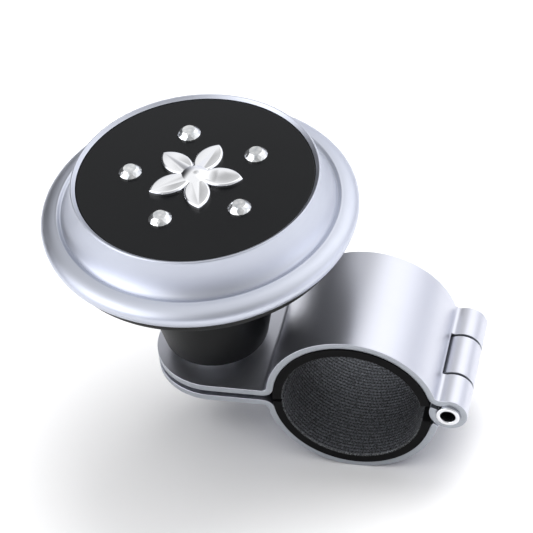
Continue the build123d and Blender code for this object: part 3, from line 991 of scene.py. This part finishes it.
shank = rounded([(0, screw_high.z), (thread_root - tip_chamfer, screw_high.z),
                 (thread_root, screw_high.z - tip_chamfer), (thread_root, seat_z),
                 (head_radius, seat_z), (head_radius, seat_z - head_edge)], head_round, steps=3)
head = dome((head_radius, seat_z - head_edge), (crown_radius, screw_low.z), steps=16)
screw = lathe("socket_screw", shank + head[1:] + [(0, screw_low.z)], (0, 0), steps=72)
tooth = chain("thread_tooth", [(tooth_foot, -half_foot), (thread_crest, -half_crest),
                               (thread_crest, half_crest), (tooth_foot, half_foot),
                               (tooth_foot, -half_foot)])
close_up()
modify(tooth, "SCREW", angle=math.tau, screw_offset=thread_pitch, iterations=thread_turns,
       steps=40, render_steps=40, axis="Z")
edit(tooth)
bpy.ops.mesh.select_all(action="SELECT")
bpy.ops.mesh.fill_holes(sides=8)
close_up()
tooth.location.z = screw_high.z - thread_runout - thread_turns * thread_pitch
settle(tooth)
combine(screw, "UNION", tooth)
deselect_all()
bpy.ops.mesh.primitive_cylinder_add(vertices=6, radius=socket_width / math.sqrt(3),
                                    depth=2 * socket_depth, location=(0, 0, screw_low.z))
socket = bpy.context.object
settle(socket)
combine(screw, "DIFFERENCE", socket)
screw.location.x = knob_x
settle(screw)
smooth(screw, degrees=32)
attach(screw, "screw_turn")
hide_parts("clamp_screw")
print("screw:", len(screw.data.polygons), "faces", [round(v / MM, 2) for v in screw.dimensions])

# %% [markdown]
# ## Satin chrome on the leaves
# The strip was brushed along its length before it was bent, then chrome plated. So the fine lines
# run round the jaw and never along the pin. Noise stretched across Y draws them, as a faint
# height and as a change of roughness. A metal has its colour in its reflection.

# %% Satin chrome
middle_blots = (0.3, 0.7)


def satin_chrome():
    """Brushed strip under chrome: broad soft highlights that run along the bent strip."""
    material, tree, shader = new_material("satin_chrome_brushed_steel", "#c8cad3", 1.0, 0.38)
    lines = uneven(tree, shader, (14 * MM, 0.16 * MM, 14 * MM), 3.0, 0.36, 0.41, middle_blots)
    bump = node(tree, "ShaderNodeBump", {
        "Height": lines, "Strength": 0.04, "Distance": 0.01 * MM})
    tree.links.new(bump.outputs["Normal"], shader.inputs["Normal"])
    return material


def satin_ring():
    """Zinc casting, polished on a wheel and satin plated: lines run round the knob's axis."""
    material, tree, shader = new_material("satin_chrome_zinc_casting", "#c0c4cf", 1.0, 0.4)
    uneven(tree, shader, (3 * MM, 3 * MM, 0.25 * MM), 4.0, 0.37, 0.43, middle_blots)
    return material


def edge_chrome_painted_shade():
    """The cut edge of the sheet: the shears tear it, so it is rougher, and its darker grey is painted
    shade for the shaded table that it mirrors.
    """
    # painted shade: this grey is darker than the leaf's chrome, to stand for the shaded table that the
    # edges mirror
    material, tree, shader = new_material("chrome_over_sheared_edge", "#a4a8ae", 1.0, 0.5)
    uneven(tree, shader, (0.5 * MM, 0.5 * MM, 0.15 * MM), 3.0, 0.42, 0.58, middle_blots)
    return material


leaf_chrome = satin_chrome()
painted_shade_edge_chrome = edge_chrome_painted_shade()
wear(upper, leaf_chrome, painted_shade_edge_chrome)
wear(lower, leaf_chrome, painted_shade_edge_chrome)
wear(knob_ring, satin_ring())
print("leaves and ring wear", [m.name for m in (leaf_chrome, painted_shade_edge_chrome, knob_ring.active_material)])

# %% [markdown]
# ## Bright metals
# The ornament is polished and chrome plated. The pin is bright nickel, with fine turning rings.

# %% Polished chrome and bright pin
def polished_chrome():
    """A near mirror: each petal shows a clear piece of the room, with a breath of haze."""
    material, tree, shader = new_material("polished_chrome_casting", "#f0f1f4", 1.0, 0.09)
    uneven(tree, shader, (0.9 * MM,) * 3, 3.0, 0.05, 0.13)
    return material


def bright_pin():
    """Bright nickel, a little warmer than chrome, with fine rings round the pin."""
    material, tree, shader = new_material("nickel_plated_steel_tube", "#dcdde0", 1.0, 0.16)
    uneven(tree, shader, (2 * MM, 0.12 * MM, 2 * MM), 2.0, 0.1, 0.24)
    return material


wear(rosette, polished_chrome())
wear(pin, bright_pin())
print("the ornament wears", rosette.active_material.name, "and the pin", pin.active_material.name)

# %% [markdown]
# ## Rubber with a fabric face
# The cloth is black polyester, woven in rows and bonded to black rubber. Its colour carries painted
# light in rows: a painted highlight on the crowns of its threads and painted shade between two rows,
# broken up by fine noise of a thread's width. Along the cut edge some fibres stand out.

# %% Ribbed cloth and rubber
def ribbed_cloth_painted_light():
    """Dull black with a painted highlight on the threads' crowns and painted shade between rows, and
    some fibres along the cut edge.
    """
    material, tree, shader = new_material("black_polyester_painted_row_light", "#2a2c31", 0.0, 0.7)
    place = node(tree, "ShaderNodeTexCoord").outputs["Object"]
    across = node(tree, "ShaderNodeSeparateXYZ", {"Vector": place}).outputs["Y"]
    # painted light: lighter on each thread's crown as a painted highlight, darker between two rows as
    # painted shade
    row = node(tree, "ShaderNodeMath", {0: across, 1: tile_width / 4}, operation="PINGPONG")
    crown = node(tree, "ShaderNodeMapRange", {
        "Value": row.outputs["Value"], "From Max": tile_width / 4, "To Min": 0.25, "To Max": 1.0})
    fluff = node(tree, "ShaderNodeTexNoise", {
        "Vector": placed(tree, (0.3 * MM,) * 3), "Scale": 1.0, "Detail": 2.0})
    specks = node(tree, "ShaderNodeMapRange", {
        "Value": fluff.outputs["Fac"], "From Min": 0.35, "From Max": 0.75})
    light = node(tree, "ShaderNodeMath", {
        0: crown.outputs["Result"], 1: specks.outputs["Result"]}, operation="MULTIPLY")
    # the pale tone is the painted highlight on the crowns, the dark tone the painted shade between
    # rows
    tone = node(tree, "ShaderNodeMix", {
        0: light.outputs["Value"], 6: linear("#0d0e11"), 7: linear("#888c94")}, data_type="RGBA")
    side = node(tree, "ShaderNodeMath", {0: across}, operation="ABSOLUTE")
    brink = node(tree, "ShaderNodeMapRange", {
        "Value": side.outputs["Value"], "From Min": pad_half_width - 0.4 * MM,
        "From Max": pad_half_width - 0.1 * MM})
    fray = node(tree, "ShaderNodeMath", {
        0: brink.outputs["Result"], 1: specks.outputs["Result"]}, operation="MULTIPLY")
    frayed = node(tree, "ShaderNodeMix", {
        0: fray.outputs["Value"], 6: tone.outputs[2], 7: linear("#a9abae")}, data_type="RGBA")
    fibre = node(tree, "ShaderNodeTexNoise", {
        "Vector": placed(tree, (0.08 * MM,) * 3), "Scale": 1.0, "Detail": 2.0})
    bump = node(tree, "ShaderNodeBump", {
        "Height": fibre.outputs["Fac"], "Strength": 0.35, "Distance": 0.03 * MM})
    tree.links.new(frayed.outputs[2], shader.inputs["Base Color"])
    tree.links.new(bump.outputs["Normal"], shader.inputs["Normal"])
    return material


def black_rubber():
    """Deep matt black that hardly shines, because its skin is finely pitted."""
    material, tree, shader = new_material("black_moulded_rubber", "#040405", 0.0, 0.75)
    shader.inputs["Specular IOR Level"].default_value = 0.12
    skin = node(tree, "ShaderNodeTexNoise", {
        "Vector": placed(tree, (0.2 * MM,) * 3), "Scale": 1.0, "Detail": 3.0})
    bump = node(tree, "ShaderNodeBump", {
        "Height": skin.outputs["Fac"], "Strength": 0.2, "Distance": 0.03 * MM})
    tree.links.new(bump.outputs["Normal"], shader.inputs["Normal"])
    return material


cloth, rubber = ribbed_cloth_painted_light(), black_rubber()
wear(upper_pad, cloth, rubber)
wear(lower_pad, cloth, rubber)
print("rows of cloth every", round(tile_width / 2 / MM, 2), "mm")

# %% [markdown]
# ## Black plastics
# The moulding is satin ABS: its surface has a fine spark-eroded grain. The disc is cast acrylic
# with a smooth face that shows a soft reflection.

# %% Black moulding and black disc
def black_moulding():
    """Soft, wide sheen on deep black, as a grained mould leaves it."""
    material, tree, shader = new_material("satin_black_abs", "#08090a", 0.0, 0.36)
    shader.inputs["Specular IOR Level"].default_value = 0.15
    grain = uneven(tree, shader, (0.14 * MM,) * 3, 3.0, 0.36, 0.5)
    bump = node(tree, "ShaderNodeBump", {
        "Height": grain, "Strength": 0.06, "Distance": 0.02 * MM})
    tree.links.new(bump.outputs["Normal"], shader.inputs["Normal"])
    return material


def black_gloss():
    """Smooth black with one soft, even reflection of the room and no grain."""
    material, tree, shader = new_material("black_cast_acrylic", "#07080a", 0.0, 0.3)
    shader.inputs["IOR"].default_value = 1.49
    shader.inputs["Specular IOR Level"].default_value = 0.2
    uneven(tree, shader, (6 * MM,) * 3, 3.0, 0.27, 0.34)
    return material


wear(moulding, black_moulding())
wear(disc, black_gloss())
print("the moulding wears", moulding.active_material.name, "and the disc", disc.active_material.name)

# %% [markdown]
# ## Foil-backed stones
# A cheap crystal is clear glass with silver foil behind it, so each facet throws back light from
# the foil. Here each facet is a small mirror of its own tone under a clear coat, which keeps its
# sparkle in a baked model too.

# %% Clear crystal
def clear_crystal():
    """Bright facets of uneven silver under a hard, clear coat."""
    material, tree, shader = new_material("foiled_crystal_glass", "#e9edf0", 0.9, 0.08)
    shader.inputs["Coat Weight"].default_value = 1.0
    shader.inputs["Coat Roughness"].default_value = 0.02
    cells = node(tree, "ShaderNodeTexVoronoi", {
        "Vector": placed(tree, (0.8 * MM,) * 3), "Scale": 1.0})
    tone = node(tree, "ShaderNodeMix", {
        0: cells.outputs["Distance"], 6: linear("#ffffff"), 7: linear("#c4c9ce")}, data_type="RGBA")
    tree.links.new(tone.outputs[2], shader.inputs["Base Color"])
    return material


crystal = clear_crystal()
for gem in stones:
    wear(gem, crystal)
print(len(stones), "stones wear", crystal.name)

# %% [markdown]
# ## Finishes of the inner pieces
# The bearings, spindle and screws keep their CAD form. Each metal has its own making: ground,
# turned, plated or phosphated, and the cages are natural nylon. Turned marks are rings about the
# knob's axis, so their pattern is centred there.

# %% Steels and nylon
def worked_metal(name, colour, low, high, size):
    """A metal whose roughness varies in bands of the given size, as its cutter left it."""
    material, tree, shader = new_material(name, colour, 1.0, (low + high) / 2)
    marks = uneven(tree, shader, size, 3.0, low, high, centre=(knob_x, 0, 0))
    bump = node(tree, "ShaderNodeBump", {
        "Height": marks, "Strength": 0.1, "Distance": 0.01 * MM})
    tree.links.new(bump.outputs["Normal"], shader.inputs["Normal"])
    return material


def natural_nylon():
    """Milky, faintly yellow plastic that light enters a little way."""
    material, tree, shader = new_material("natural_nylon", "#e4dcc4", 0.0, 0.45)
    shader.inputs["Subsurface Weight"].default_value = 0.2
    shader.inputs["Subsurface Scale"].default_value = 0.8 * MM
    cloud = node(tree, "ShaderNodeTexNoise", {
        "Vector": placed(tree, (1.5 * MM,) * 3), "Scale": 1.0, "Detail": 2.0})
    tone = node(tree, "ShaderNodeMix", {
        0: cloud.outputs["Fac"], 6: linear("#d8cfb2"), 7: linear("#eee8d6")}, data_type="RGBA")
    tree.links.new(tone.outputs[2], shader.inputs["Base Color"])
    return material


inner_finishes = {
    "turned_steel": worked_metal("turned_steel_oiled", "#b9babb", 0.25, 0.4,
                                 (3 * MM, 3 * MM, 0.15 * MM)),
    "bearing_steel": worked_metal("ground_bearing_steel", "#cfd0d2", 0.1, 0.2,
                                  (3 * MM, 3 * MM, 0.1 * MM)),
    "plated_steel": worked_metal("zinc_plated_steel", "#c6c7c4", 0.25, 0.42,
                                 (0.6 * MM, 0.6 * MM, 0.6 * MM)),
    "spring_steel": worked_metal("phosphated_spring_steel", "#3d3d3f", 0.4, 0.6,
                                 (0.3 * MM, 0.3 * MM, 0.3 * MM)),
    "cage_nylon": natural_nylon(),
}
dressed = 0
for part in frame["record"]["subparts"]:
    if part["material_slot"] in inner_finishes:
        wear(frame["nodes"][part["node"]], inner_finishes[part["material_slot"]])
        dressed += 1
wear(screw, inner_finishes["plated_steel"])
print("inner pieces dressed:", dressed)

# %% [markdown]
# ## Floor, light and camera
# The part stands on a plain white table, a wide plane just under its lowest point. The table is a
# stage for the picture and belongs to no body of the part.

# %% Floor
table_gap = 0.05 * MM
table_size = 1.6
deselect_all()
bpy.ops.mesh.primitive_plane_add(size=table_size, location=(0, 0, cad_bounds[0][2] - table_gap))
floor = bpy.context.object
floor.name = "white_table"
paper, paper_tree, paper_shader = new_material("matt_white_laminate", "#f4f4f5", 0.0, 0.7)
speck = node(paper_tree, "ShaderNodeTexNoise", {
    "Vector": placed(paper_tree, (50 * MM,) * 3), "Scale": 1.0, "Detail": 2.0})
tone = node(paper_tree, "ShaderNodeMix", {
    0: speck.outputs["Fac"], 6: linear("#f3f3f4"), 7: linear("#f6f6f7")}, data_type="RGBA")
paper_tree.links.new(tone.outputs[2], paper_shader.inputs["Base Color"])
wear(floor, paper)
print("the table lies at", round(floor.location.z / MM, 2), "mm")

# %% [markdown]
# Chrome shows only what stands round it, so a pale room is made for it to mirror. It is an even
# white with soft round patches: three bright windows, a dark side, a greyer front and a small dim
# patch behind give the metal its bands. The room is seen in reflections and lights no dull face.

# %% A pale room with windows and dark patches
def cap_of_sky(towards, inner, outer):
    """1 within the inner angle of a direction, 0 past the outer one, and a soft edge between."""
    nearness = node(sky, "ShaderNodeVectorMath", {0: direction, 1: Vector(towards).normalized()},
                    operation="DOT_PRODUCT").outputs["Value"]
    return node(sky, "ShaderNodeMapRange", {
        "Value": nearness, "From Min": math.cos(math.radians(outer)),
        "From Max": math.cos(math.radians(inner))}, interpolation_type="SMOOTHSTEP").outputs["Result"]


world = bpy.data.worlds.new("pale_room")
bpy.context.scene.world = world
world.use_nodes = True
sky = world.node_tree
direction = node(sky, "ShaderNodeTexCoord").outputs["Generated"]
height = node(sky, "ShaderNodeSeparateXYZ", {"Vector": direction}).outputs["Z"]
tint = node(sky, "ShaderNodeValToRGB", {"Fac": height})
tint.color_ramp.elements[0].color = linear("#e9ebf6")
tint.color_ramp.elements[1].position = 0.6
tint.color_ramp.elements[1].color = linear("#ffffff")
patches = (
    ("dark side", (-0.85, 0.5, 0.1), 18, 48, -1.0),
    ("greyer front", (0.25, -0.75, 0.6), 10, 48, -0.6),
    ("window behind", (0.38, 0.62, 0.68), 5, 36, 0.9),
    ("window on the left", (-0.7, -0.48, 0.5), 12, 42, 1.7),
    ("window on the right", (0.95, 0.15, 0.1), 8, 30, 0.8),
    ("dim patch behind", (-0.08, 0.69, 0.72), 3, 15, -0.6),
)
brightness = 1.05
for label, towards, inner, outer, change in patches:
    patch = node(sky, "ShaderNodeMath", {
        0: cap_of_sky(towards, inner, outer), 1: change, 2: brightness}, operation="MULTIPLY_ADD")
    patch.label = label
    brightness = patch.outputs["Value"]
sky.links.new(tint.outputs["Color"], sky.nodes["Background"].inputs["Color"])
sky.links.new(brightness, sky.nodes["Background"].inputs["Strength"])
world.cycles_visibility.diffuse = False
print("the room has", [label for label, *_ in patches])

# %% [markdown]
# Two large soft boxes light the table and the dull pieces, one from straight above and one from
# behind. They are kept out of the reflections, so the metal shows the room alone.

# %% Two soft boxes that light the table
def soft_box(name, towards, far, size, energy):
    """A round lamp at a distance from the origin, facing it, that no surface mirrors."""
    light = bpy.data.lights.new(name, "AREA")
    light.shape = "DISK"
    light.size = size
    light.energy = energy
    box = bpy.data.objects.new(name, light)
    bpy.context.scene.collection.objects.link(box)
    way = Vector(towards).normalized()
    box.location = way * far
    box.rotation_euler = way.to_track_quat("Z", "Y").to_euler()
    box.visible_glossy = False


soft_box("soft_box_behind", (0.1, 0.4, 0.9), far=0.5, size=0.4, energy=1.6)
soft_box("soft_box_above", (0, 0, 1), far=0.9, size=1.8, energy=18.0)

# %% [markdown]
# The camera is a long lens that looks down from the front right. Its place follows from its two
# angles, its small roll, its distance, and the picture point that shows the foot of the knob.

# %% Camera
picture_width = 533
focal_pixels = 2788.7
view_azimuth = math.radians(16.814)
view_elevation = math.radians(43.502)
view_roll = math.radians(7.098)
view_distance = 509.43 * MM
foot = Vector((knob_x, 0, tongue_top))
foot_pixel = (218.468, 339.343)

back = Vector((math.sin(view_azimuth) * math.cos(view_elevation),
               -math.cos(view_azimuth) * math.cos(view_elevation), math.sin(view_elevation)))
level = Vector((math.cos(view_azimuth), math.sin(view_azimuth), 0))
rise = back.cross(level)
right = level * math.cos(view_roll) - rise * math.sin(view_roll)
up = rise * math.cos(view_roll) + level * math.sin(view_roll)
across = (foot_pixel[0] - picture_width / 2) / focal_pixels
down = (foot_pixel[1] - picture_width / 2) / focal_pixels
lens = bpy.data.cameras.new("long_lens")
lens.sensor_width = 36
lens.lens = focal_pixels * lens.sensor_width / picture_width
lens.clip_start = 0.01
camera = bpy.data.objects.new("camera", lens)
bpy.context.scene.collection.objects.link(camera)
camera.matrix_world = Matrix((right, up, back)).transposed().to_4x4()
camera.location = foot - (right * across - up * down - back) * view_distance
bpy.context.scene.camera = camera
bpy.context.scene.view_settings.view_transform = "Standard"
print("lens", round(lens.lens, 1), "mm at", [round(v, 3) for v in camera.location])
